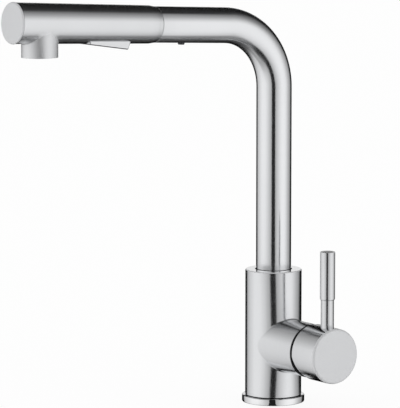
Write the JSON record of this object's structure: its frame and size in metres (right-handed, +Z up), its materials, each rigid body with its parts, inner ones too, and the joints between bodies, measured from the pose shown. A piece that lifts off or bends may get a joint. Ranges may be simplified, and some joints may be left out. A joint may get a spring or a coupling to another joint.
{
  "type": "pull-out kitchen faucet",
  "caption": "Deck-mounted kitchen faucet: round tube body, side lever on a ceramic mixing cartridge, swivelling bent spout and a pull-out spray head with a rocker toggle.",
  "frame": {"origin": "centre of the base ring's underside, where the shank enters the deck", "axes": "+Z up the body, -Y along the spout's reach, +X along the handle's neck"},
  "size_m": [0.1072, 0.2697, 0.3749],
  "materials": {
    "brushed_steel": "brushed round the axis",
    "polished_chrome": "polished",
    "brass": "turned",
    "hardware_steel": "plain",
    "toggle_finish": "satin",
    "black_rubber": "matte",
    "white_acetal": "moulded",
    "grey_plastic": "moulded",
    "black_plastic": "moulded",
    "grey_silicone": "matte",
    "grey_hose": "braided nylon",
    "ceramic": "lapped"
  },
  "bodies": {
    "base": {"base_ring": "polished_chrome", "base_gasket": "black_rubber", "mounting_shank": "brass", "body_shell": "brushed_steel", "upper_bush": "black_plastic", "lower_bush": "white_acetal", "bush_circlip": "hardware_steel", "spout_lock_screw": "hardware_steel", "water_block": "grey_plastic", "hose_tail_sockets": "brass", "cartridge_base": "white_acetal", "port_seals": "black_rubber", "disc_seals": "black_rubber", "fixed_disc": "ceramic", "cartridge_case": "grey_plastic", "cartridge_nut": "brass"},
    "spout": {"spout_tube": "brushed_steel", "spout_foot": "brass", "dock_sleeve": "black_plastic", "dock_screw": "hardware_steel", "hose_in_spout": "grey_hose"},
    "spray_head": {"head_shell": "brushed_steel", "front_cap": "brushed_steel", "head_core": "grey_plastic", "dock_plug": "black_plastic", "hose_nut": "brass", "hose_ferrule": "hardware_steel", "pull_hose": "grey_hose", "hose_washer": "black_rubber", "check_valve": "white_acetal", "toggle_pin": "hardware_steel", "spray_body": "grey_plastic", "spray_seal": "black_rubber", "aerator": "white_acetal", "spray_plate": "grey_silicone"},
    "toggle": {"toggle_rocker": "toggle_finish"},
    "diverter": {"diverter_spool": "white_acetal", "diverter_seals": "black_rubber"},
    "turret": {"cartridge_turret": "white_acetal", "pivot_pin": "hardware_steel"},
    "handle": {"cartridge_stem": "brass", "handle_cap": "brushed_steel", "handle_set_screw": "hardware_steel", "lever": "brushed_steel"},
    "mixing_disc": {"disc_carrier": "grey_plastic", "moving_disc": "ceramic"}
  },
  "joints": [
    {"name": "spout_swivel", "type": "hinge", "parent": "base", "child": "spout", "pos_m": [0, 0, 0.1], "axis": [0, 0, 1], "range_deg": [-180, 180]},
    {"name": "head_pull", "type": "slide", "parent": "spout", "child": "spray_head", "axis": [0, -0.9986, 0.0523], "range_m": [0, 0.055]},
    {"name": "spray_toggle", "type": "hinge", "parent": "spray_head", "child": "toggle", "pos_m": [0, -0.15958, 0.30015], "axis": [1, 0, 0], "range_deg": [0, 11]},
    {"name": "diverter_slide", "type": "slide", "parent": "spray_head", "child": "diverter", "axis": [0, -0.9986, 0.0523], "range_m": [0, 0.00115]},
    {"name": "handle_turn", "type": "hinge", "parent": "base", "child": "turret", "pos_m": [0.042, 0, 0.0476], "axis": [1, 0, 0], "range_deg": [-50, 50]},
    {"name": "handle_tilt", "type": "hinge", "parent": "turret", "child": "handle", "pos_m": [0.042, 0, 0.0476], "axis": [0, 1, 0], "range_deg": [0, 16]},
    {"name": "disc_slide", "type": "slide", "parent": "turret", "child": "mixing_disc", "axis": [0, 0, 1], "range_m": [0, 0.00261]}
  ],
  "couplings": [
    {"joint": "spray_toggle", "follows": "diverter_slide", "rad_per_m": 166.67},
    {"joint": "disc_slide", "follows": "handle_tilt", "m_per_rad": 0.009}
  ]
}
